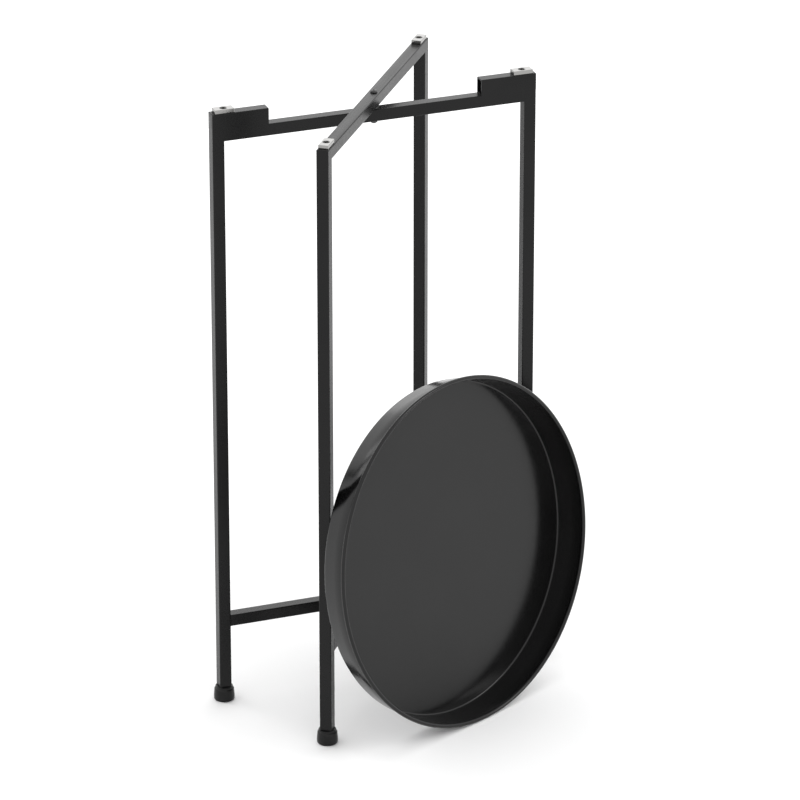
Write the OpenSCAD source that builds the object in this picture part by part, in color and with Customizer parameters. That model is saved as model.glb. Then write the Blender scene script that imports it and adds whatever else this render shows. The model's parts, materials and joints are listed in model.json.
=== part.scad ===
// Folding tray table: a round steel tray, lifted off, and a stand of two
// welded square-tube frames that cross on one upright pivot line.
// Each frame is a tall rectangle of four mitred tubes. The "under" frame's rails
// pass below the "over" frame's rails, and two hollow end blocks bring the under frame's
// ends up to the same height. A bar magnet is screwed to each of the four ends,
// and holds the tray. The tray stands on the floor and leans on two of the legs.
// Millimetres, +Z up, floor at z = 0, the tray faces -Y.

/* [Stand] */
// height of the stand's top faces above the floor
stand_height = 620; // [600:1:640]
// outside width of each frame, leg face to leg face
frame_width = 332; // [326:1:334]
// side of the square tube
tube_side = 12; // [11:0.5:12.5]
// wall of the square tube
tube_wall = 1.2; // [1:0.1:1.5]
// radius of the tube's outer corners
tube_corner = 0.9; // [0.6:0.1:1.2]
// gap between the crossing rails, filled by the spacers
rail_gap = 4; // [3:0.5:5]
// length of each raised end block
block_length = 57; // [50:1:64]
// height of the lower rail's underside on the under frame
low_rail_height = 81; // [70:1:90]
// angle between the two frames as they stand open
open_angle = 52.5; // [50:0.5:54]

/* [Pivots] */
// bolt shank radius
bolt_r = 2; // [1.8:0.1:2.2]
// clearance round each bolt, on the radius
bolt_clearance = 0.06; // [0.03:0.01:0.1]
// radius of the button head
bolt_head_r = 3.5; // [3.2:0.1:4]
// height of the button head
bolt_head_height = 2.2; // [1.8:0.1:2.6]
// play left between the parts that turn on each other
turning_play = 0.1; // [0.05:0.05:0.2]
// outside radius of the spacers
spacer_r = 5; // [4.5:0.1:5.5]
// across the flats of the dome nuts
nut_flats = 7; // [6.6:0.1:7.4]
// height of the nut's hexagon
nut_height = 2; // [1.8:0.1:2.4]
// height of the nut's dome
nut_dome = 1.6; // [1.2:0.1:1.8]

/* [Magnets] */
// length of a magnet along its rail
magnet_length = 20; // [18:0.5:20]
// width of a magnet across its rail
magnet_width = 10; // [9:0.5:10.5]
// thickness of a magnet
magnet_height = 4; // [3.5:0.1:4.5]
// distance of each magnet's centre from the frame's outer end
magnet_inset = 13; // [12.6:0.1:14]
// radius of the countersunk screw head
screw_head_r = 3.6; // [3.4:0.1:3.8]
// radius of the screw's shank
screw_r = 1.6; // [1.5:0.05:1.7]
// length of the screw under its head's face
screw_length = 12; // [11:0.5:12]

/* [Feet] */
// largest radius of a rubber foot
foot_r = 10.4; // [10.2:0.1:11]
// height of a rubber foot
foot_height = 15; // [14:0.5:18]
// rubber under the end of the leg
foot_sole = 3; // [2.5:0.5:4]

/* [Tray] */
// outside diameter of the tray's base
tray_base_d = 336; // [332:1:337]
// outside diameter over the rolled rim
tray_rim_d = 349; // [348:1:352]
// height from the base's underside to the top of the rim
tray_height = 33; // [31:0.5:35]
// thickness of the tray's sheet
tray_sheet = 1.2; // [1:0.1:1.4]
// diameter of the rolled rim
rim_bead = 4.4; // [4:0.1:4.8]
// outer radius of the bend between base and wall
tray_bend = 3; // [2.6:0.1:3.4]
// angle at which the tray leans back
tray_lean = 8.85; // [8:0.05:9.4]
// gap kept between the tray's back edge and the legs
lean_gap = 0.5; // [0.4:0.1:1]
// gap kept between the tray's rim and the floor
floor_gap = 0.1; // [0.1:0.1:0.5]

/* [Hidden] */
$fn = 48;
fine = 96;
eps = 0.01;
half_width = frame_width / 2;
half_tube = tube_side / 2;
block_height = tube_side + rail_gap;
under_top = stand_height - block_height;
over_top = stand_height;
over_low_rail_height = low_rail_height + block_height;
leg_line = half_width - half_tube;
hole_r = bolt_r + bolt_clearance;
magnet_line = half_width - magnet_inset;
magnet_top = stand_height + magnet_height;
half_angle = open_angle / 2;
bead_r = rim_bead / 2;
rim_line = tray_rim_d / 2 - bead_r;
rim_z = tray_height - bead_r;
base_r = tray_base_d / 2;
bend_line = base_r - tray_bend;
// outward slope of the wall, from the bend to the rim
wall_slope = atan((rim_line + bead_r - tray_sheet - bend_line - tray_bend) / (rim_z - tray_bend));
// lowest points of the leaning tray below its base centre
bead_low = rim_line * cos(tray_lean) - rim_z * sin(tray_lean) + bead_r;
bend_low = bend_line * cos(tray_lean) - tray_bend * sin(tray_lean) + tray_bend;
tray_centre_z = max(bead_low, bend_low) + floor_gap;
// the leg corner that the tray's back edge meets: how far forward, and how far aside
corner_forward = half_width * sin(half_angle) + half_tube * cos(half_angle);
corner_aside = half_width * cos(half_angle) - half_tube * sin(half_angle);
corner_rise = sqrt(base_r * base_r - corner_aside * corner_aside);
tray_forward = corner_forward + lean_gap + corner_rise * sin(tray_lean);
// the whole object's box runs from the tray's rim to the back feet
back_reach = leg_line * sin(half_angle) + foot_r;
front_reach = tray_forward + rim_z * cos(tray_lean) + rim_line * sin(tray_lean) + bead_r;
pivot_y = (front_reach - back_reach) / 2;

black_coat = [0.13, 0.13, 0.13];
tray_coat = [0.2, 0.2, 0.2];
rubber = [0.06, 0.06, 0.06];
nickel = [0.75, 0.75, 0.74];
dark_steel = [0.16, 0.16, 0.16];

// the under frame, its rail along local X, right end towards +X and the front
module under_frame() {
  translate([0, pivot_y, 0])
    rotate([0, 0, -half_angle])
      children();
}

// the over frame, its right end towards +X and the back
module over_frame() {
  translate([0, pivot_y, 0])
    rotate([0, 0, half_angle])
      children();
}

// square bar with rounded long edges, along Z from z = 0
module round_bar(side, corner, length) {
  flat = side - 2 * corner;
  union() {
    translate([-side / 2, -flat / 2, 0])
      cube([side, flat, length]);
    translate([-flat / 2, -side / 2, 0])
      cube([flat, side, length]);
    for (x = [-1, 1])
      for (y = [-1, 1])
        translate([x * flat / 2, y * flat / 2, 0])
          cylinder(r = corner, h = length);
  }
}

// square tube along Z from z = 0
module tube(length) {
  bore = tube_side - 2 * tube_wall;
  difference() {
    round_bar(tube_side, tube_corner, length);
    translate([-bore / 2, -bore / 2, -1])
      cube([bore, bore, length + 2]);
  }
}

// one side of the 45 degree mitre plane at a frame's +X end, below height top:
// side 0 is the rail's side of the plane, side -1 the leg's side
module mitre_block(top, side) {
  reach = 4 * tube_side;
  translate([half_width, 0, top])
    rotate([0, -45, 0])
      translate([-reach, -tube_side, side * reach])
        cube([2 * reach, 2 * tube_side, reach]);
}

// leg of a frame at the +X end, open at the foot and mitred at the top
module leg(top) {
  difference() {
    translate([leg_line, 0, foot_sole])
      tube(top - foot_sole);
    mitre_block(top, 0);
  }
}

// top rail of a frame, mitred at both ends
module mitred_rail(top) {
  difference() {
    translate([-half_width, 0, top - half_tube])
      rotate([0, 90, 0])
        tube(frame_width);
    for (end = [0, 1])
      mirror([end, 0, 0])
        mitre_block(top, -1);
  }
}

// upright hole through everything on the pivot line
module pivot_hole(low, high) {
  translate([0, 0, low])
    cylinder(r = hole_r, h = high - low);
}

module under_top_rail_shape() {
  difference() {
    mitred_rail(under_top);
    pivot_hole(under_top - tube_side - 1, under_top + 1);
  }
}

module over_top_rail_shape() {
  difference() {
    mitred_rail(over_top);
    pivot_hole(over_top - tube_side - 1, over_top + 1);
    for (side = [-1, 1])
      translate([side * magnet_line, 0, over_top - half_tube])
        cylinder(r = screw_r + bolt_clearance, h = tube_side);
  }
}

// lower rail, butted between the legs
module low_rail_shape(height) {
  length = frame_width - 2 * tube_side;
  difference() {
    translate([-length / 2, 0, height + half_tube])
      rotate([0, 90, 0])
        tube(length);
    pivot_hole(height - 1, height + tube_side + 1);
  }
}

// raised block on the end of the under frame, at the +X end: a short piece of
// rectangular tube, open at its inner end and closed at its outer end
module end_block() {
  inner_end = half_width - block_length;
  low = under_top;
  flat = tube_side - 2 * tube_corner;
  difference() {
    union() {
      translate([inner_end, -half_tube, low])
        cube([block_length, tube_side, block_height - tube_corner]);
      translate([inner_end, -flat / 2, low])
        cube([block_length, flat, block_height]);
      for (y = [-1, 1])
        translate([inner_end, y * flat / 2, stand_height - tube_corner])
          rotate([0, 90, 0])
            cylinder(r = tube_corner, h = block_length);
    }
    translate([inner_end - 1, tube_wall - half_tube, low + tube_wall])
      cube([block_length + 1 - tube_wall, tube_side - 2 * tube_wall,
            block_height - 2 * tube_wall]);
    translate([magnet_line, 0, magnet_top - screw_length - 0.5])
      cylinder(r = screw_r + bolt_clearance, h = screw_length + 1);
  }
}

// bar magnet with a countersunk hole, at the +X end
module magnet() {
  head_depth = screw_head_r - screw_r;
  translate([magnet_line, 0, stand_height])
    difference() {
      translate([-magnet_length / 2, -magnet_width / 2, 0])
        cube([magnet_length, magnet_width, magnet_height]);
      translate([0, 0, -1])
        cylinder(r = screw_r + 0.1, h = magnet_height + 2);
      translate([0, 0, magnet_height - head_depth])
        cylinder(r1 = screw_r + 0.1, r2 = screw_head_r + 0.1, h = head_depth);
      translate([0, 0, magnet_height - eps])
        cylinder(r = screw_head_r + 0.1, h = 1);
    }
}

// countersunk cross-recess screw, at the +X end, its head just below the magnet's face
module screw() {
  head_depth = screw_head_r - screw_r;
  slot = 0.9;
  slot_length = 4;
  slot_depth = 1.2;
  screw_sink = 0.15;
  translate([magnet_line, 0, magnet_top])
    difference() {
      union() {
        translate([0, 0, -head_depth])
          cylinder(r1 = screw_r, r2 = screw_head_r - screw_sink, h = head_depth - screw_sink);
        translate([0, 0, -screw_length])
          cylinder(r = screw_r, h = screw_length - head_depth + eps);
      }
      for (turn = [0, 90])
        rotate([0, 0, turn + 20])
          translate([-slot_length / 2, -slot / 2, -slot_depth])
            cube([slot_length, slot, slot_depth + 1]);
    }
}

// moulded rubber foot with a square socket, at the +X end
module foot() {
  neck = foot_r - 1.6;
  wide = foot_r;
  top = foot_height;
  translate([leg_line, 0, 0])
    difference() {
      rotate_extrude($fn = fine)
        polygon([
          [0, 0], [wide - 2.2, 0], [wide - 1.2, 0.35], [wide - 0.45, 1.2], [wide, 2.8],
          [wide, 4.5], [wide - 0.3, top - 5.5], [wide - 0.6, top - 3.4], [wide - 1, top - 1.6],
          [neck, top], [0, top]
        ]);
      translate([-half_tube, -half_tube, foot_sole])
        cube([tube_side, tube_side, foot_height]);
    }
}

// button-head bolt standing on a rail whose top face is at height z
module pivot_bolt(z) {
  length = 2 * tube_side + rail_gap + nut_height;
  socket_r = 1.2;
  difference() {
    union() {
      translate([0, 0, z - length])
        cylinder(r = bolt_r, h = length + turning_play + eps);
      translate([0, 0, z + turning_play])
        cylinder(r = bolt_head_r, h = 0.6);
      translate([0, 0, z + turning_play + 0.6])
        cylinder(r1 = bolt_head_r, r2 = bolt_head_r - 0.6, h = 0.9);
      translate([0, 0, z + turning_play + 1.5])
        cylinder(r1 = bolt_head_r - 0.6, r2 = bolt_head_r - 1.7, h = bolt_head_height - 1.5);
    }
    translate([0, 0, z + turning_play + bolt_head_height - 1.2])
      cylinder(r = socket_r, h = 2, $fn = 6);
  }
}

// ring between the rails, its underside on the under frame's rail
module spacer(z) {
  translate([0, 0, z])
    difference() {
      cylinder(r = spacer_r, h = rail_gap - turning_play);
      translate([0, 0, -1])
        cylinder(r = hole_r, h = rail_gap + 2);
    }
}

// dome nut hanging under a rail whose underside is at height z
module dome_nut(z) {
  corner_r = nut_flats / 2 / cos(30);
  difference() {
    union() {
      translate([0, 0, z - nut_height])
        cylinder(r = corner_r, h = nut_height, $fn = 6);
      translate([0, 0, z - nut_height - nut_dome * 0.5])
        cylinder(r1 = nut_flats / 2 - 0.9, r2 = nut_flats / 2 - 0.3, h = nut_dome * 0.5);
      translate([0, 0, z - nut_height - nut_dome])
        cylinder(r1 = nut_flats / 2 - 2.2, r2 = nut_flats / 2 - 0.9, h = nut_dome * 0.5);
    }
    translate([0, 0, z - nut_height])
      cylinder(r = bolt_r, h = nut_height + 1);
  }
}

// points of an arc, centre c, radius r, from angle a to angle b
function arc(c, r, a, b, n) = [for (i = [0:n]) c + r * [cos(a + (b - a) * i / n), sin(a + (b - a) * i / n)]];

// the tray lying flat: round pan, bent wall and rolled rim, base underside at z = 0
module tray_flat() {
  bend_centre = [bend_line, tray_bend];
  last = -wall_slope;
  out = arc(bend_centre, tray_bend, -90, last, 6);
  inner = arc(bend_centre, tray_bend - tray_sheet, last, -90, 6);
  top = [rim_line + 0.4, rim_z];
  normal = [cos(wall_slope), -sin(wall_slope)];
  union() {
    rotate_extrude($fn = fine)
      polygon(concat([[0, 0]], out, [top + 0.6 * normal, top - 0.6 * normal], inner, [[0, tray_sheet]]));
    translate([0, 0, rim_z])
      rotate_extrude($fn = fine)
        translate([rim_line, 0])
          circle(r = bead_r, $fn = 32);
  }
}

module under_leg_right() {
  color(black_coat)
    under_frame()
      leg(under_top);
}

module under_leg_left() {
  color(black_coat)
    under_frame()
      mirror([1, 0, 0])
        leg(under_top);
}

module under_top_rail() {
  color(black_coat)
    under_frame()
      under_top_rail_shape();
}

module under_low_rail() {
  color(black_coat)
    under_frame()
      low_rail_shape(low_rail_height);
}

module under_block_right() {
  color(black_coat)
    under_frame()
      end_block();
}

module under_block_left() {
  color(black_coat)
    under_frame()
      mirror([1, 0, 0])
        end_block();
}

module over_leg_left() {
  color(black_coat)
    over_frame()
      mirror([1, 0, 0])
        leg(over_top);
}

module over_leg_right() {
  color(black_coat)
    over_frame()
      leg(over_top);
}

module over_top_rail() {
  color(black_coat)
    over_frame()
      over_top_rail_shape();
}

module over_low_rail() {
  color(black_coat)
    over_frame()
      low_rail_shape(over_low_rail_height);
}

module foot_under_right() {
  color(rubber)
    under_frame()
      foot();
}

module foot_under_left() {
  color(rubber)
    under_frame()
      mirror([1, 0, 0])
        foot();
}

module foot_over_left() {
  color(rubber)
    over_frame()
      mirror([1, 0, 0])
        foot();
}

module foot_over_right() {
  color(rubber)
    over_frame()
      foot();
}

module magnet_under_right() {
  color(nickel)
    under_frame()
      magnet();
}

module magnet_under_left() {
  color(nickel)
    under_frame()
      mirror([1, 0, 0])
        magnet();
}

module magnet_over_left() {
  color(nickel)
    over_frame()
      mirror([1, 0, 0])
        magnet();
}

module magnet_over_right() {
  color(nickel)
    over_frame()
      magnet();
}

module screw_under_right() {
  color(dark_steel)
    under_frame()
      screw();
}

module screw_under_left() {
  color(dark_steel)
    under_frame()
      mirror([1, 0, 0])
        screw();
}

module screw_over_left() {
  color(dark_steel)
    over_frame()
      mirror([1, 0, 0])
        screw();
}

module screw_over_right() {
  color(dark_steel)
    over_frame()
      screw();
}

module upper_bolt() {
  color(dark_steel)
    under_frame()
      pivot_bolt(over_top);
}

module lower_bolt() {
  color(dark_steel)
    under_frame()
      pivot_bolt(over_low_rail_height + tube_side);
}

module upper_spacer() {
  color(dark_steel)
    under_frame()
      spacer(under_top);
}

module lower_spacer() {
  color(dark_steel)
    under_frame()
      spacer(low_rail_height + tube_side);
}

module upper_nut() {
  color(dark_steel)
    under_frame()
      dome_nut(under_top - tube_side);
}

module lower_nut() {
  color(dark_steel)
    under_frame()
      dome_nut(low_rail_height);
}

module tray() {
  color(tray_coat)
    translate([0, pivot_y - tray_forward, tray_centre_z])
      rotate([90 - tray_lean, 0, 0])
        tray_flat();
}

under_leg_right();
under_leg_left();
under_top_rail();
under_low_rail();
under_block_right();
under_block_left();
over_leg_left();
over_leg_right();
over_top_rail();
over_low_rail();
foot_under_right();
foot_under_left();
foot_over_left();
foot_over_right();
magnet_under_right();
magnet_under_left();
magnet_over_left();
magnet_over_right();
screw_under_right();
screw_under_left();
screw_over_left();
screw_over_right();
upper_bolt();
lower_bolt();
upper_spacer();
lower_spacer();
upper_nut();
lower_nut();
tray();
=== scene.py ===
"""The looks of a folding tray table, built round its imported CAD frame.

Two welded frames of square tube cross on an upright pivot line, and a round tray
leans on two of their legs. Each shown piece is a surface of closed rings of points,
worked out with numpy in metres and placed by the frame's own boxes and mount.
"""

import json
import math

import bpy
import numpy as np
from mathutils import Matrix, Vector


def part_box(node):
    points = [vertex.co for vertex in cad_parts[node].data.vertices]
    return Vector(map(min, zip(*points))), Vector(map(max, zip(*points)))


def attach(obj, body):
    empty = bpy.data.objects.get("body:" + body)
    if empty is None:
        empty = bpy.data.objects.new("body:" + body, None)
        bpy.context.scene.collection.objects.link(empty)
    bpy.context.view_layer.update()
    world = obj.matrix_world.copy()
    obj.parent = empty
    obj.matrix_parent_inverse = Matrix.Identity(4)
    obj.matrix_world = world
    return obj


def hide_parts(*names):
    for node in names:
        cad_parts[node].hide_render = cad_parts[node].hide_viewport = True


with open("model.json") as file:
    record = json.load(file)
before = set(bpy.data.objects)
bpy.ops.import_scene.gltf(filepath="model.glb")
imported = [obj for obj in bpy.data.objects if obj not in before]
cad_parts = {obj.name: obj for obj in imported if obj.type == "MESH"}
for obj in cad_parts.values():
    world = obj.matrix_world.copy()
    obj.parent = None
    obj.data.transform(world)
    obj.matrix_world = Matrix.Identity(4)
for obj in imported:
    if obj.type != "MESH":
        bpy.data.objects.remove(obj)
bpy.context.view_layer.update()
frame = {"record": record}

MM = 0.001
UP = np.array([0.0, 0.0, 1.0])


# ---------------------------------------------------------------- sizes

TUBE_WALL = 1.2 * MM
TUBE_CORNER = 0.9 * MM      # rounding of the tube's long edges
CUT_EDGE = 0.45 * MM        # rounding left by grinding a welded end
HOLE_CLEARANCE = 0.06 * MM
HOLD = 0.35 * MM            # a point this far along a flat keeps its shading flat

MAGNET_EDGE = 0.35 * MM
SCREW_HEAD = 3.6 * MM
SCREW_SHANK = 1.6 * MM
MAGNET_LENGTH = 20.0 * MM
MAGNET_WIDTH = 10.0 * MM
COUNTERSINK = 3.7 * MM      # radius of the magnet's hole at its top

BOLT_SHANK = 2.0 * MM
BOLT_HEAD = 3.5 * MM
BOLT_HEAD_HEIGHT = 2.2 * MM
SPACER_RADIUS = 5.0 * MM
NUT_HALF_FLATS = 3.5 * MM
NUT_HEIGHT = 2.0 * MM

TRAY_BASE = 168.0 * MM      # outside radius of the tray's base
TRAY_RIM = 174.5 * MM       # outside radius over the rolled rim
TRAY_HEIGHT = 33.0 * MM
TRAY_SHEET = 1.2 * MM
RIM_ROLL = 2.2 * MM         # radius of the rolled rim
TRAY_BEND = 3.0 * MM        # outer radius between base and wall


def low(node):
    return np.array(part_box(node)[0])


def high(node):
    return np.array(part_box(node)[1])


def middle(node):
    return (low(node) + high(node)) / 2


TUBE = high("over_top_rail")[2] - low("over_top_rail")[2]
LEG_LINE = np.linalg.norm(middle("foot_over_right") - middle("foot_over_left")) / 2
HALF_FRAME = LEG_LINE + TUBE / 2
OVER_TOP = high("over_top_rail")[2]
UNDER_TOP = high("under_top_rail")[2]
LEG_END = low("over_leg_left")[2]
MAGNET_TOP = high("magnet_over_left")[2]


# ---------------------------------------------------------------- places

class Place:
    """An origin and axes in the frame. Called with local points, it gives them there."""

    def __init__(self, origin, x_axis, z_axis=UP):
        y_axis = np.cross(z_axis, x_axis)
        self.origin = np.array(origin, float)
        self.axes = np.array([x_axis, y_axis, z_axis], float)

    def __call__(self, points):
        return self.origin + points @ self.axes

    def moved(self, x=0.0, y=0.0, z=0.0, turn=0.0):
        """The same place shifted along its own axes and turned about its own Z."""
        x_axis = math.cos(turn) * self.axes[0] + math.sin(turn) * self.axes[1]
        return Place(self(np.array([x, y, z])), x_axis, self.axes[2])


def stand_place(left_foot, right_foot):
    """Origin on the floor between a frame's two feet, X from left to right."""
    left, right = middle(left_foot), middle(right_foot)
    along = right - left
    origin = (left + right) / 2 * [1, 1, 0]
    return Place(origin, along / np.linalg.norm(along))


under = stand_place("foot_under_left", "foot_under_right")
over = stand_place("foot_over_left", "foot_over_right")
tray_mount = next(m for m in frame["record"]["mounts"] if m["name"] == "tray_floor")
tray_axis = np.array(tray_mount["axis"]) / np.linalg.norm(tray_mount["axis"])
tray_base = Place(np.array(tray_mount["pos_m"]) - TRAY_SHEET * tray_axis,
                  np.array([1.0, 0.0, 0.0]), tray_axis)


# ---------------------------------------------------------------- making meshes

def shell(rings, ends):
    """Points and faces of a closed surface. rings[i, j] is point j of closed ring i,
    and each ring is joined to the next by four-sided faces. With ends "joined" the last
    ring also meets the first, and with "shut" the first and last rings are each shut by
    a fan to their middle point."""
    count, around = rings.shape[:2]
    points = rings.reshape(-1, 3)
    steps = count if ends == "joined" else count - 1
    i, j = np.meshgrid(np.arange(steps), np.arange(around), indexing="ij")
    here, after = i * around, (i + 1) % count * around
    ahead = (j + 1) % around
    faces = np.stack([here + j, here + ahead, after + ahead, after + j], -1)
    faces = faces.reshape(-1, 4).tolist()
    if ends == "shut":
        j = np.arange(around)
        ahead = (j + 1) % around
        last = (count - 1) * around
        points = np.vstack([points, rings[0].mean(0), rings[-1].mean(0)])
        first_fan = np.stack([ahead, j, np.full(around, count * around)], -1)
        last_fan = np.stack([last + j, last + ahead, np.full(around, count * around + 1)], -1)
        faces += first_fan.tolist() + last_fan.tolist()
    return points, faces


def enclosed(points, faces):
    """Six times the signed volume: the sum over triangles of a . (b x c)."""
    triangles = np.array([t for f in faces for t in ((f[0], f[1], f[2]), (f[0], f[2], f[-1]))])
    a, b, c = (points[triangles[:, k]] for k in range(3))
    return np.einsum("ij,ij->", a - points[0], np.cross(b - points[0], c - points[0]))


def piece(name, shells, body, slot, replaces=(), crease=38):
    """One object from one or more closed surfaces, its faces pointing outwards, which
    rides on a body, takes a material slot's finish and stands for CAD nodes."""
    all_points, all_faces, offset = [], [], 0
    for rings, ends in shells:
        points, faces = shell(rings, ends)
        if enclosed(points, faces) < 0:
            faces = [f[::-1] for f in faces]
        all_points.append(points)
        all_faces += [[corner + offset for corner in f] for f in faces]
        offset += len(points)
    mesh = bpy.data.meshes.new(name)
    mesh.from_pydata(np.vstack(all_points).tolist(), [], all_faces)
    mesh.update()
    mesh.shade_smooth()
    mesh.set_sharp_from_angle(angle=math.radians(crease))
    made = bpy.data.objects.new(name, mesh)
    bpy.context.scene.collection.objects.link(made)
    made.data.materials.append(FINISHES[slot])
    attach(made, body)
    if replaces:
        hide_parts(*replaces)
    return made


def drill(made, place, radius, bottom=-1.0, crease=38):
    """Cuts a round hole down into a piece, along a place's Z, to the bottom height."""
    rod_rings = place(turned([(radius, bottom), (radius, 1.0)], turns(32)))
    points, faces = shell(rod_rings, "shut")
    if enclosed(points, faces) < 0:
        faces = [f[::-1] for f in faces]
    mesh = bpy.data.meshes.new("rod")
    mesh.from_pydata(points.tolist(), [], faces)
    rod = bpy.data.objects.new("rod", mesh)
    bpy.context.scene.collection.objects.link(rod)
    cut = made.modifiers.new("hole", "BOOLEAN")
    cut.operation, cut.solver, cut.object = "DIFFERENCE", "EXACT", rod
    bpy.context.view_layer.update()
    seen = made.evaluated_get(bpy.context.evaluated_depsgraph_get())
    result = bpy.data.meshes.new_from_object(seen)
    made.modifiers.clear()
    made.data = result
    result.set_sharp_from_angle(angle=math.radians(crease))
    bpy.data.objects.remove(rod)


def screw_hole(made, screw_node, place, end):
    """Cuts a screw's hole into a piece's top, down to half a tube below the stand's."""
    reach = np.linalg.norm((middle(screw_node) - place.origin)[:2])
    drill(made, place.moved(x=end * reach), SCREW_SHANK + HOLE_CLEARANCE,
          bottom=OVER_TOP - TUBE / 2)


# ---------------------------------------------------------------- outlines and rings

def turns(count):
    return np.linspace(0, 2 * math.pi, count, endpoint=False)


def turned(profile, around):
    """Rings about Z. Each profile entry is (radius, height), and the radius may be an
    array with one value for each angle, which makes that ring other than round."""
    rings = []
    for radius, height in profile:
        reach = np.broadcast_to(radius, around.shape)
        level = np.broadcast_to(height, around.shape)
        rings.append(np.stack([reach * np.cos(around), reach * np.sin(around), level], -1))
    return np.array(rings)


def arc(centre, radius, start, end, steps):
    """Points (u, v) on an arc from angle start to angle end, in degrees."""
    angle = np.radians(np.linspace(start, end, steps + 1))
    return [(centre[0] + radius * math.cos(a), centre[1] + radius * math.sin(a)) for a in angle]


def square_outline(side, corner, steps=5):
    """A square's outline with round corners, anticlockwise. Each corner is an arc, with
    one more point a little way along the straight at both ends, so flats shade flat."""
    inset = side / 2 - corner
    points = []
    for quarter in range(4):
        start = math.radians(90 * quarter)
        centre = inset * math.sqrt(2) * np.array([math.cos(start + math.pi / 4),
                                                  math.sin(start + math.pi / 4)])
        angle = start + np.linspace(0, math.pi / 2, steps + 1)
        bend = centre + corner * np.stack([np.cos(angle), np.sin(angle)], -1)
        before = bend[0] - HOLD * np.array([-math.sin(start), math.cos(start)])
        after = bend[-1] + HOLD * np.array([-math.cos(start), -math.sin(start)])
        points += [before, *bend, after]
    return np.array(points)


def box_reach(around, half_length, half_width, power=26):
    """Distance from the middle to a rectangle's side at each angle, with the corners
    rounded: (|cos / half length|^power + |sin / half width|^power)^(-1 / power)."""
    return ((np.abs(np.cos(around)) / half_length) ** power
            + (np.abs(np.sin(around)) / half_width) ** power) ** (-1 / power)


def hexagon_reach(around, half_flat):
    """Distance from the middle to a hexagon's side at each angle."""
    sector = math.pi / 3
    return half_flat / np.cos(around % sector - sector / 2)


# ---------------------------------------------------------------- tubes and blocks

OUTSIDE = square_outline(TUBE, TUBE_CORNER)
INSIDE = square_outline(TUBE - 2 * TUBE_WALL, 0.3 * MM)


def mitre(reach, corner, steps=5, lead=1.6 * MM):
    """Outside rings that end a tube on a 45 degree mitre, as (outward, across, along).
    reach is how far the outward face would run. The rings turn from square-on to the
    mitre plane about the inner side, while their outward points follow an arc of radius
    corner, which rounds the outer corner of the frame."""
    half = TUBE / 2
    turn = np.radians(np.linspace(0, 45, steps + 1) if corner else [45.0])[:, None]
    share = (OUTSIDE[:, 0] + half) / TUBE
    outer_out = half - corner * (1 - np.cos(turn))
    outer_along = reach - corner * (1 - np.sin(turn))
    inner_along = reach - TUBE - lead * (1 - np.degrees(turn) / 45)
    outward = -half + share * (outer_out + half)
    along = inner_along + share * (outer_along - inner_along)
    across = np.broadcast_to(OUTSIDE[:, 1], outward.shape)
    return np.stack([outward, across, along], -1)


def flat_ring(outline, along):
    return np.column_stack([outline, np.full(len(outline), along)])[None]


def mitred_bore(reach):
    """The bore's ring on the mitre plane: along = reach - half the tube + outward."""
    return np.column_stack([INSIDE, reach - TUBE / 2 + INSIDE[:, 0]])[None]


def leg(name, body, place, end, top, corner):
    """A leg at a frame's left (-1) or right (1) end: square tube from the foot up to a
    mitre whose outer corner is at height top."""
    rings = np.concatenate([flat_ring(OUTSIDE, LEG_END), mitre(top, corner),
                            mitred_bore(top), flat_ring(INSIDE, LEG_END)])
    outward, across, along = np.moveaxis(rings, -1, 0)
    local = np.stack([end * (LEG_LINE + outward), end * across, along], -1)
    return piece(name + "_tube", [(place(local), "joined")], body, "frame_coat", [name])


def rail(name, body, place, top, corner):
    """A top rail, with its outward side up and both ends mitred."""
    right, bore = mitre(HALF_FRAME, corner), mitred_bore(HALF_FRAME)
    flip = np.array([1, 1, -1])
    rings = np.concatenate([right[::-1] * flip, right, bore, bore * flip])
    outward, across, along = np.moveaxis(rings, -1, 0)
    local = np.stack([along, across, top - TUBE / 2 + outward], -1)
    return piece(name + "_tube", [(place(local), "joined")], body, "frame_coat", [name])


def low_rail(name, body, place):
    """A lower rail, cut square and butted between the legs."""
    reach, centre = LEG_LINE - TUBE / 2, middle(name)[2]
    rings = np.concatenate([flat_ring(OUTSIDE, -reach), flat_ring(OUTSIDE, reach),
                            flat_ring(INSIDE, reach), flat_ring(INSIDE, -reach)])
    outward, across, along = np.moveaxis(rings, -1, 0)
    local = np.stack([along, across, centre + outward], -1)
    return piece(name + "_tube", [(place(local), "joined")], body, "frame_coat", [name])


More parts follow.
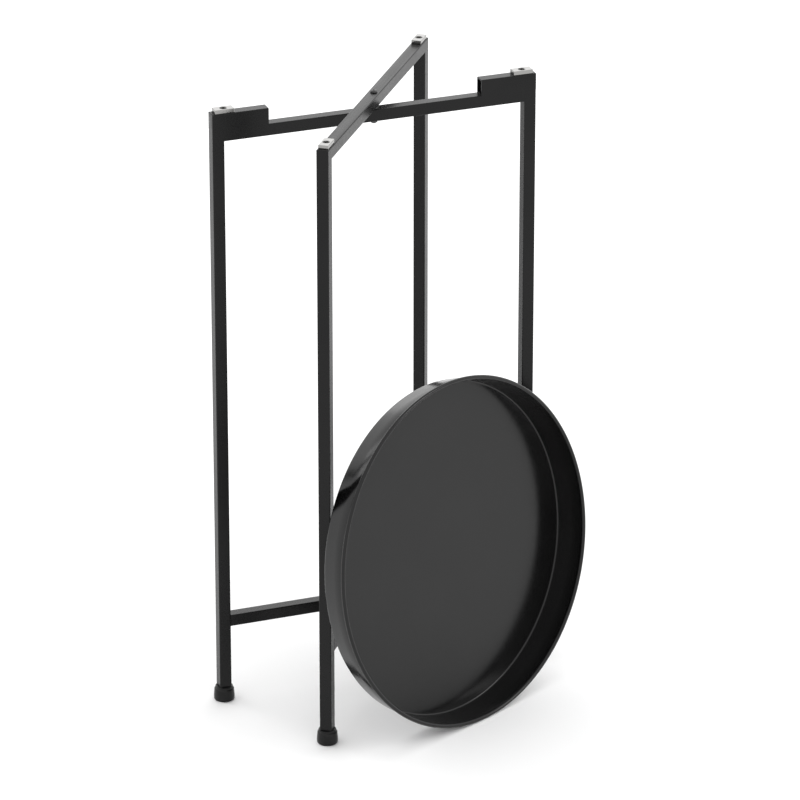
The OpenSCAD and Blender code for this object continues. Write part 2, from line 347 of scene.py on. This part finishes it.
def end_block(name, body, place, end):
    """A raised block: a short piece of rectangular tube, open at its inner end and
    closed at its outer end. The outline, across the rail, has round top edges and
    follows the rail's own round edges down to its sides, which leaves no groove. One
    skin: the bore from its closed end outwards, then the outside back to the far end."""
    half, edge, tall = TUBE / 2, TUBE_CORNER, OVER_TOP - UNDER_TOP
    side, mid = half - edge, tall / 2
    outline = np.array(
        [(half, -edge), (half, HOLD), (half, tall - edge - HOLD)]
        + arc((side, tall - edge), edge, 0, 90, 5)
        + [(side - HOLD, tall), (-side + HOLD, tall)]
        + arc((-side, tall - edge), edge, 90, 180, 5)
        + [(-half, tall - edge - HOLD), (-half, HOLD)]
        + arc((-side, -edge), edge, 180, 90, 5)
        + arc((side, -edge), edge, 90, 10, 5))
    bore = np.column_stack([
        outline[:, 0] * (1 - TUBE_WALL / half),
        mid + (np.maximum(outline[:, 1], 0) - mid) * (1 - TUBE_WALL / mid)])
    across_extent = TUBE * abs(place.axes[0][1])
    length = (high(name)[0] - low(name)[0] - across_extent) / abs(place.axes[0][0])
    inner, outer = HALF_FRAME - length, HALF_FRAME

    def ring(section, along, shrink=0.0):
        """A section at a place along the rail, its sides and top drawn in by shrink."""
        across = section[:, 0] * (1 - shrink / half)
        level = section[:, 1] - np.maximum(section[:, 1], 0) / tall * shrink
        return np.column_stack([np.full(len(section), along), across, UNDER_TOP + level])

    turn = np.radians(np.linspace(0, 90, 5))
    rounding = zip(CUT_EDGE * (1 - np.sin(turn)), CUT_EDGE * (1 - np.cos(turn)))
    rings = ([ring(bore, outer - TUBE_WALL), ring(bore, inner), ring(outline, inner, 0.2 * MM),
              ring(outline, inner + 0.2 * MM), ring(outline, inner + 0.6 * MM),
              ring(outline, outer - CUT_EDGE - 0.4 * MM)]
             + [ring(outline, outer - back, shrink) for back, shrink in rounding])
    local = np.array(rings) * [end, end, 1]
    return piece(name + "_tube", [(place(local), "shut")], body, "frame_coat", [name])


def fillet(place, corner_x, corner_z, side_x, side_z, leg_size=1.1 * MM):
    """A weld in an inside corner, across the tube: a triangle with a hollow face, its
    size rippling along the bead by a few per cent."""
    span = TUBE / 2 - TUBE_CORNER
    across = np.linspace(-span, span, 45)
    size = leg_size * (1 + 0.06 * np.sin(across / (0.85 * MM) * 2 * math.pi)
                       + 0.03 * np.sin(across / (2.3 * MM)))
    size *= np.clip((span - np.abs(across)) / (0.7 * MM) + 0.55, 0, 1)
    hollow = np.radians(np.linspace(180, 270, 6))
    u = np.concatenate([[0], 1 + np.cos(hollow)])
    v = np.concatenate([[0], 1 + np.sin(hollow)])
    rings = np.stack([corner_x + side_x * size[:, None] * u,
                      np.repeat(across[:, None], len(u), 1),
                      corner_z + side_z * size[:, None] * v], -1)
    return place(rings), "shut"


# ---------------------------------------------------------------- small pieces

def foot(name, body, place, end):
    """A moulded foot: a round body that swells to the sole, a shoulder that slopes up to
    the tube, and a square socket. Rings about the leg's line, round outside, square
    inside."""
    around = turns(96)
    tall = high(name)[2]
    wide = (high(name)[0] - low(name)[0]) / 2
    socket = box_reach(around, TUBE / 2 + 0.06 * MM, TUBE / 2 + 0.06 * MM, power=16)
    lip = np.maximum(socket + 0.35 * MM, wide - 1.9 * MM)
    profile = (
        [(0.6 * MM, 0.5 * MM), (3.2 * MM, 0.5 * MM), (3.8 * MM, 0.0), (wide - 2.4 * MM, 0.0)]
        + arc((wide - 2.1 * MM, 2.0 * MM), 2.0 * MM, -82, 0, 7)[:-1]
        + [(wide - 0.06 * MM, 2.6 * MM), (wide, 3.4 * MM), (wide - 0.08 * MM, 5.2 * MM),
           (wide - 0.28 * MM, 8.0 * MM), (wide - 0.5 * MM, tall - 4.8 * MM)]
        + arc((wide - 2.6 * MM, tall - 3.6 * MM), 2.0 * MM, 5, 62, 6)
        + [(lip + 0.15 * MM, tall - 0.55 * MM), (lip, tall - 0.15 * MM),
           (np.maximum(socket + 0.1 * MM, lip - 0.25 * MM), tall),
           (socket, tall - 0.15 * MM), (socket, LEG_END + 0.05 * MM),
           (socket * 0.5, LEG_END)])
    local = turned(profile, around)
    return piece(name + "_rubber", [(place.moved(x=end * LEG_LINE)(local), "shut")],
                 body, "rubber_foot", [name])


def magnet(name, body, place, end):
    """A bar magnet with softened edges and a countersunk hole. One closed skin: out
    along the underside, up the sides, in over the top and back down the hole."""
    centre = middle(name)
    along = np.linalg.norm((centre - place.origin)[:2])
    thick = MAGNET_TOP - OVER_TOP
    half_length, half_width = MAGNET_LENGTH / 2, MAGNET_WIDTH / 2
    diagonal = math.atan2(half_width, half_length)
    extra = np.concatenate([k * math.pi + s * diagonal + np.radians(np.linspace(-5, 5, 11))
                            for k in (0, 1) for s in (-1, 1)])
    around = np.unique(np.round(np.concatenate([turns(72), extra % (2 * math.pi)]), 5))

    def outline(inset):
        return box_reach(around, half_length - inset, half_width - inset, power=40)

    quarter = np.radians(np.linspace(0, 90, 5))
    far, near = MAGNET_EDGE * (1 - np.sin(quarter)), MAGNET_EDGE * (1 - np.cos(quarter))
    bottom = [(outline(inset), level) for inset, level in zip(far, near)]
    topside = [(outline(inset), thick - level) for inset, level in zip(near, far)]
    profile = ([(1.7 * MM, 0.0)] + bottom + topside
               + [(outline(MAGNET_EDGE + 0.3 * MM), thick), (COUNTERSINK + 0.06 * MM, thick),
                  (COUNTERSINK, thick - 0.06 * MM), (1.8 * MM, thick - 1.96 * MM),
                  (1.7 * MM, thick - 2.1 * MM)])
    local = turned(profile, around)
    spot = place.moved(x=end * along, z=OVER_TOP)
    return piece(name + "_bar", [(spot(local), "joined")], body, "magnet", [name], crease=30)


def screw(name, body, place, end, turn):
    """A countersunk screw with a low dome. The head is a grid of rings whose height
    dips in a cross: full depth where a point is within an arm's half width of either
    centre line and inside the arms' length, with sloped walls."""
    around = turns(128)
    along = np.linalg.norm((middle(name) - place.origin)[:2])
    top = high(name)[2]
    profile = []
    for reach in np.linspace(0.08, 1, 26) * (SCREW_HEAD - 0.15 * MM):
        x, y = reach * np.cos(around), reach * np.sin(around)
        arm = np.minimum(np.abs(x), np.abs(y))
        inside = np.clip((0.75 * MM - arm) / (0.25 * MM), 0, 1)
        inside = inside * np.clip((2.5 * MM - reach) / (0.5 * MM), 0, 1)
        crown = 0.12 * MM * (reach / SCREW_HEAD) ** 2
        dip = (1.4 * MM - 0.25 * reach) * inside
        profile.append((reach, top - crown - dip))
    foot_end = low(name)[2]
    profile += [(SCREW_HEAD, top - 0.25 * MM), (SCREW_HEAD - 0.02 * MM, top - 0.35 * MM),
                (SCREW_SHANK + 0.1 * MM, top - 1.95 * MM),
                (SCREW_SHANK, top - 2.1 * MM), (SCREW_SHANK, foot_end + 0.3 * MM),
                (SCREW_SHANK - 0.3 * MM, foot_end)]
    spot = place.moved(x=end * along, turn=turn)
    return piece(name + "_steel", [(spot(turned(profile, around)), "shut")],
                 body, "screw", [name])


def bolt(name, place):
    """A button-head bolt: hexagon socket, domed head and plain shank down to its nut."""
    around = turns(72)
    top, end = high(name)[2], low(name)[2]
    head, rim, shank, tall = BOLT_HEAD, 0.55 * MM, BOLT_SHANK, BOLT_HEAD_HEIGHT
    seat = top - tall
    socket = hexagon_reach(around, 1.05 * MM)
    crown = 1.55 * MM
    dome = [(crown + (head - crown) * math.sin(a), seat + rim + (tall - rim) * math.cos(a))
            for a in np.radians(np.linspace(0, 90, 9))]
    profile = ([(socket * 0.6, top - 1.25 * MM), (socket, top - 1.2 * MM),
                (socket, top - 0.12 * MM), (socket + 0.12 * MM, top - 0.01 * MM)]
               + dome + [(head, seat + 0.1 * MM), (head - 0.1 * MM, seat),
                         (shank + 0.1 * MM, seat), (shank, seat - 0.1 * MM),
                         (shank, end + 0.3 * MM), (shank - 0.3 * MM, end)])
    return piece(name + "_steel", [(place(turned(profile, around)), "shut")],
                 "under_frame", "pivot_fixing", [name])


def spacer(name, place):
    """A ring between the rails, its edges softened."""
    around = turns(72)
    bottom, top = low(name)[2], high(name)[2]
    inner, outer = BOLT_SHANK + HOLE_CLEARANCE, SPACER_RADIUS
    edge, shave = 0.25 * MM, 0.07 * MM
    profile = [(inner, bottom), (outer - edge, bottom), (outer - shave, bottom + shave),
               (outer, bottom + edge), (outer, top - edge), (outer - shave, top - shave),
               (outer - edge, top), (inner, top)]
    return piece(name + "_ring", [(place(turned(profile, around)), "joined")],
                 "under_frame", "pivot_fixing", [name])


def dome_nut(name, place):
    """A dome nut under a rail: blind bore, chamfered hexagon and round cap."""
    around = turns(72)
    bottom, top = low(name)[2], high(name)[2]
    hexagon = hexagon_reach(around, NUT_HALF_FLATS)
    base = top - NUT_HEIGHT

    def chamfered(limit):
        return np.minimum(hexagon, limit)

    cap = [(2.9 * MM * math.sin(a), base + (bottom - base) * math.cos(a))
           for a in np.radians(np.linspace(90, 12, 9))]
    profile = ([(1.0 * MM, base + 0.02 * MM), (BOLT_SHANK, base + 0.02 * MM), (BOLT_SHANK, top),
                (chamfered(3.6 * MM), top), (chamfered(3.9 * MM), top - 0.2 * MM),
                (hexagon, top - 0.5 * MM), (hexagon, base + 0.5 * MM),
                (chamfered(3.9 * MM), base + 0.2 * MM), (chamfered(3.5 * MM), base)] + cap)
    return piece(name + "_cap", [(place(turned(profile, around)), "shut")],
                 "under_frame", "pivot_fixing", [name])


def tray():
    """The pan: flat base, bent and flared wall, rolled rim. Rings about its axis follow
    one outline, out along the underside, up the wall's outside, round the roll, down the
    wall's inside and in over the floor."""
    around = turns(360)
    roll_line = TRAY_RIM - RIM_ROLL
    roll_level = TRAY_HEIGHT - RIM_ROLL
    bend_line = TRAY_BASE - TRAY_BEND
    run = TRAY_RIM - TRAY_SHEET - TRAY_BASE
    slope = math.degrees(math.atan(run / (roll_level - TRAY_BEND)))
    lean = np.array([math.sin(math.radians(slope)), math.cos(math.radians(slope))])
    normal = np.array([lean[1], -lean[0]])
    outer_bend = arc((bend_line, TRAY_BEND), TRAY_BEND, -90, -slope, 8)
    inner_bend = arc((bend_line, TRAY_BEND), TRAY_BEND - TRAY_SHEET, -slope, -90, 8)
    top = np.array([roll_line + 0.4 * MM, roll_level])
    outer_top = top + TRAY_SHEET / 2 * normal
    inner_top = top - TRAY_SHEET / 2 * normal

    def wall(start, end, shares):
        start, end = np.array(start), np.array(end)
        return [tuple(start + s * (end - start)) for s in shares]

    def meets_roll(start, end):
        """Share of the way along a line at which it enters the roll's circle."""
        start, way = np.array(start), np.array(end) - np.array(start)
        off = start - np.array([roll_line, roll_level])
        a, b, c = way @ way, 2 * off @ way, off @ off - RIM_ROLL ** 2
        return (-b - math.sqrt(b * b - 4 * a * c)) / (2 * a)

    def angle_of(point):
        return math.degrees(math.atan2(point[1] - roll_level, point[0] - roll_line))

    out_share = meets_roll(outer_bend[-1], outer_top)
    in_share = meets_roll(inner_bend[0], inner_top)
    out_join = wall(outer_bend[-1], outer_top, [out_share])[0]
    in_join = wall(inner_bend[0], inner_top, [in_share])[0]
    start, end = angle_of(out_join), angle_of(in_join)
    roll = arc((roll_line, roll_level), RIM_ROLL, start + 8, end + 352, 30)
    tuck = tuple(np.array(out_join) + [-0.25 * MM, 0.25 * MM])
    profile = (
        [(8 * MM, 0.0), (80 * MM, 0.0), (bend_line - 6 * MM, 0.0), (bend_line - 0.8 * MM, 0.0)]
        + outer_bend
        + wall(outer_bend[-1], outer_top, [0.04, 0.5, out_share - 0.02])
        + [tuck] + roll
        + wall(inner_bend[0], inner_top, [in_share - 0.03, 0.5, 0.04])
        + inner_bend
        + [(bend_line - 0.8 * MM, TRAY_SHEET), (bend_line - 6 * MM, TRAY_SHEET),
           (80 * MM, TRAY_SHEET), (8 * MM, TRAY_SHEET)])
    return piece("tray_pan", [(tray_base(turned(profile, around)), "shut")],
                 "tray", "tray_coat", ["tray"], crease=50)


# ---------------------------------------------------------------- finishes

class Signal:
    """One value inside a material. Arithmetic on it adds Math nodes."""

    def __init__(self, finish, socket):
        self.finish, self.socket = finish, socket

    def maths(self, operation, first, second):
        return self.finish.node("ShaderNodeMath", {"operation": operation},
                                {0: first, 1: second})

    def __add__(self, other):
        return self.maths("ADD", self, other)

    def __sub__(self, other):
        return self.maths("SUBTRACT", self, other)

    def __rsub__(self, other):
        return self.maths("SUBTRACT", other, self)

    def __mul__(self, other):
        return self.maths("MULTIPLY", self, other)

    __radd__, __rmul__ = __add__, __mul__


class Finish:
    """One material. node() adds any node: its settings first, then values or links for
    its sockets, and gives back the output asked for."""

    def __init__(self, name):
        self.material = bpy.data.materials.new(name)
        self.material.use_nodes = True
        self.tree = self.material.node_tree
        self.tree.nodes.clear()

    def node(self, kind, settings=None, sockets=None, out=0):
        added = self.tree.nodes.new(kind)
        for key, value in (settings or {}).items():
            setattr(added, key, value)
        for key, value in (sockets or {}).items():
            if isinstance(value, Signal):
                self.tree.links.new(value.socket, added.inputs[key])
            else:
                added.inputs[key].default_value = value
        return Signal(self, added.outputs[out])

    def place(self):
        return self.node("ShaderNodeTexCoord", out="Object")

    def noise(self, size, detail=2.0, roughness=0.5, at=None):
        """Noise from 0 to 1 whose patches are about size metres across."""
        return self.node("ShaderNodeTexNoise", {"noise_dimensions": "3D"},
                         {"Vector": at or self.place(), "Scale": 1 / size,
                          "Detail": detail, "Roughness": roughness})

    def spread(self, signal, low_in, high_in, low_out=0.0, high_out=1.0):
        return self.node("ShaderNodeMapRange", {"interpolation_type": "SMOOTHSTEP"},
                         {"Value": signal, "From Min": low_in, "From Max": high_in,
                          "To Min": low_out, "To Max": high_out})

    def blend(self, factor, first, second):
        return self.node("ShaderNodeMix", {"data_type": "RGBA"},
                         {0: factor, 6: (*first, 1), 7: (*second, 1)}, out=2)

    def relief(self, height, depth, strength=1.0):
        """A Bump node: height runs from 0 to 1 over depth metres."""
        return self.node("ShaderNodeBump", {},
                         {"Strength": strength, "Distance": depth, "Height": height})

    def shade(self, **sockets):
        named = {key.replace("_", " "): value for key, value in sockets.items()}
        surface = self.node("ShaderNodeBsdfPrincipled", {}, named)
        end = self.tree.nodes.new("ShaderNodeOutputMaterial")
        self.tree.links.new(surface.socket, end.inputs["Surface"])
        return self.material


def powder_coat(name, dark, light, gloss, index):
    """Satin powder coat: an orange-peel skin, a finer grain and slow drifts of tone."""
    coat = Finish(name)
    peel = coat.noise(2.6 * MM, detail=1.5)
    grain = coat.noise(0.5 * MM, detail=1.0)
    drift = coat.noise(60 * MM, detail=3.0)
    tone = coat.spread(drift * 0.6 + grain * 0.4, 0.35, 0.68)
    return coat.shade(
        Base_Color=coat.blend(tone, dark, light),
        Roughness=coat.spread(drift * 0.5 + peel * 0.5, 0.3, 0.7, gloss - 0.03, gloss + 0.04),
        IOR=index,
        Normal=coat.relief(peel * 0.7 + grain * 0.3, 0.03 * MM, 0.4))


def moulded_rubber(name):
    """Black rubber with a fine moulded skin and a faint bloom."""
    rubber = Finish(name)
    skin = rubber.noise(0.7 * MM, detail=3.0, roughness=0.6)
    bloom = rubber.spread(rubber.noise(7 * MM, detail=3.0), 0.4, 0.7)
    return rubber.shade(
        Base_Color=rubber.blend(bloom, (0.005, 0.005, 0.005), (0.010, 0.010, 0.010)),
        Roughness=rubber.spread(bloom, 0.0, 1.0, 0.3, 0.4),
        IOR=1.3,
        Normal=rubber.relief(skin, 0.06 * MM, 0.5))


def nickel_plate(name):
    """Bright nickel, slightly rippled, with fine handling marks."""
    nickel = Finish(name)
    ripple = nickel.noise(1.8 * MM, detail=2.0)
    marks = nickel.noise(0.35 * MM, detail=4.0, roughness=0.7)
    return nickel.shade(
        Base_Color=nickel.blend(marks, (0.27, 0.267, 0.26), (0.33, 0.327, 0.32)),
        Metallic=1.0,
        Roughness=nickel.spread(marks, 0.3, 0.7, 0.12, 0.2),
        Normal=nickel.relief(ripple * 0.6 + marks * 0.4, 0.03 * MM, 0.5))


def black_oxide(name):
    """Dark oxide on steel, a touch brown where it thins."""
    oxide = Finish(name)
    patch = oxide.spread(oxide.noise(1.6 * MM, detail=3.0), 0.4, 0.65)
    return oxide.shade(
        Base_Color=oxide.blend(patch, (0.006, 0.0058, 0.005), (0.014, 0.013, 0.010)),
        Roughness=oxide.spread(patch, 0.0, 1.0, 0.3, 0.4),
        IOR=1.25,
        Normal=oxide.relief(oxide.noise(0.4 * MM), 0.02 * MM, 0.4))


def black_zinc(name):
    """Satin black plating on the pivot fixings."""
    zinc = Finish(name)
    patch = zinc.spread(zinc.noise(2.2 * MM, detail=3.0), 0.35, 0.7)
    return zinc.shade(
        Base_Color=zinc.blend(patch, (0.016, 0.016, 0.016), (0.03, 0.03, 0.03)),
        Roughness=zinc.spread(patch, 0.0, 1.0, 0.26, 0.38),
        IOR=1.5,
        Normal=zinc.relief(zinc.noise(0.5 * MM), 0.02 * MM, 0.4))


FINISHES = {
    "frame_coat": powder_coat("satin black coat", (0.0030, 0.0030, 0.0031),
                              (0.0052, 0.0051, 0.0052), 0.28, 1.30),
    "tray_coat": powder_coat("satin black tray coat", (0.0028, 0.0028, 0.0029),
                             (0.0048, 0.0047, 0.0048), 0.19, 1.385),
    "rubber_foot": moulded_rubber("moulded black rubber"),
    "magnet": nickel_plate("bright nickel plate"),
    "screw": black_oxide("black oxide"),
    "pivot_fixing": black_zinc("satin black plating"),
}


# ---------------------------------------------------------------- the object

for end, side in ((-1, "left"), (1, "right")):
    leg("under_leg_" + side, "under_frame", under, end, UNDER_TOP, 0)
    leg("over_leg_" + side, "over_frame", over, end, OVER_TOP, CUT_EDGE)
    block = end_block("under_block_" + side, "under_frame", under, end)
    for body, place, which in (("under_frame", under, "under_"), ("over_frame", over, "over_")):
        foot("foot_" + which + side, body, place, end)
        magnet("magnet_" + which + side, body, place, end)
        screw("screw_" + which + side, body, place, end, math.radians(20 + 35 * end))
    screw_hole(block, "screw_under_" + side, under, end)

over_rail = rail("over_top_rail", "over_frame", over, OVER_TOP, CUT_EDGE)
for end, side in ((-1, "left"), (1, "right")):
    screw_hole(over_rail, "screw_over_" + side, over, end)
under_rail = rail("under_top_rail", "under_frame", under, UNDER_TOP, 0)
over_low = low_rail("over_low_rail", "over_frame", over)
under_low = low_rail("under_low_rail", "under_frame", under)
for made, place in ((over_rail, over), (under_rail, under),
                    (over_low, over), (under_low, under)):
    drill(made, place, BOLT_SHANK + HOLE_CLEARANCE)

for which in ("upper", "lower"):
    bolt(which + "_bolt", under)
    spacer(which + "_spacer", under)
    dome_nut(which + "_nut", under)

for body, place, which, top in (("under_frame", under, "under_", UNDER_TOP),
                                ("over_frame", over, "over_", OVER_TOP)):
    inner = LEG_LINE - TUBE / 2
    rail_low, rail_high = low(which + "low_rail")[2], high(which + "low_rail")[2]
    welds = []
    for end in (-1, 1):
        welds += [fillet(place, end * inner, top - TUBE, -end, -1),
                  fillet(place, end * inner, rail_low, -end, -1),
                  fillet(place, end * inner, rail_high, -end, 1)]
    piece(which + "frame_welds", welds, body, "frame_coat")

tray()


# ---------------------------------------------------------------- floor, light, camera

def white_floor():
    """A plain pale floor, wide enough to fill every view."""
    half = 40.0
    mesh = bpy.data.meshes.new("floor")
    mesh.from_pydata([(-half, -half, 0), (half, -half, 0), (half, half, 0), (-half, half, 0)],
                     [], [(0, 1, 2, 3)])
    floor = bpy.data.objects.new("floor", mesh)
    bpy.context.scene.collection.objects.link(floor)
    paper = Finish("white paper")
    floor.data.materials.append(paper.shade(Base_Color=(0.92, 0.92, 0.92, 1), Roughness=0.9,
                                            Specular_IOR_Level=0.0))


def soft_light(name, heading, height, distance, width, power):
    """A square area light, aimed at the stand's middle. Heading 0 is at the camera's
    right hand and 90 behind the object, in degrees."""
    data = bpy.data.lights.new(name, "AREA")
    data.shape, data.size, data.energy = "SQUARE", width, power
    lamp = bpy.data.objects.new(name, data)
    bpy.context.scene.collection.objects.link(lamp)
    turn = math.radians(heading) + HEADING
    way = np.array([math.cos(turn), math.sin(turn), 0.0])
    aim = np.array([0, under.origin[1], OVER_TOP / 2])
    spot = aim + distance * way + (height - aim[2]) * UP
    lamp.location = spot
    lamp.rotation_mode = "QUATERNION"
    lamp.rotation_quaternion = Vector(aim - spot).to_track_quat("-Z", "Y")


HEADING = math.radians(-47.11)      # of the camera's right hand, from +X
TILT = math.radians(23.21)          # the camera looks down by this much
CAMERA_BACK = 5.0                   # from the pivot line, along the floor
CAMERA_ASIDE = 0.02519              # the pivot line's offset to the camera's left
CAMERA_HEIGHT = 2.4425
LENS = 249.1

camera_data = bpy.data.cameras.new("camera")
camera_data.lens, camera_data.sensor_width = LENS, 36.0
camera = bpy.data.objects.new("camera", camera_data)
bpy.context.scene.collection.objects.link(camera)
right_hand = np.array([math.cos(HEADING), math.sin(HEADING), 0.0])
ahead = np.array([-math.sin(HEADING), math.cos(HEADING), 0.0])
camera.location = (under.origin + CAMERA_ASIDE * right_hand - CAMERA_BACK * ahead
                   + CAMERA_HEIGHT * UP)
camera.rotation_euler = (math.pi / 2 - TILT, 0.0, HEADING)
bpy.context.scene.camera = camera

white_floor()
soft_light("right soft box", -8, 4.0, 6.0, 2.0, 70)
soft_light("left soft box", 150, 4.5, 6.0, 2.5, 40)
soft_light("back soft box", 90, 2.2, 3.4, 3.0, 20)

world = bpy.data.worlds.new("studio")
bpy.context.scene.world = world
world.use_nodes = True
world.node_tree.nodes["Background"].inputs["Color"].default_value = (1, 1, 1, 1)
world.node_tree.nodes["Background"].inputs["Strength"].default_value = 1.26
bpy.context.scene.view_settings.view_transform = "Standard"
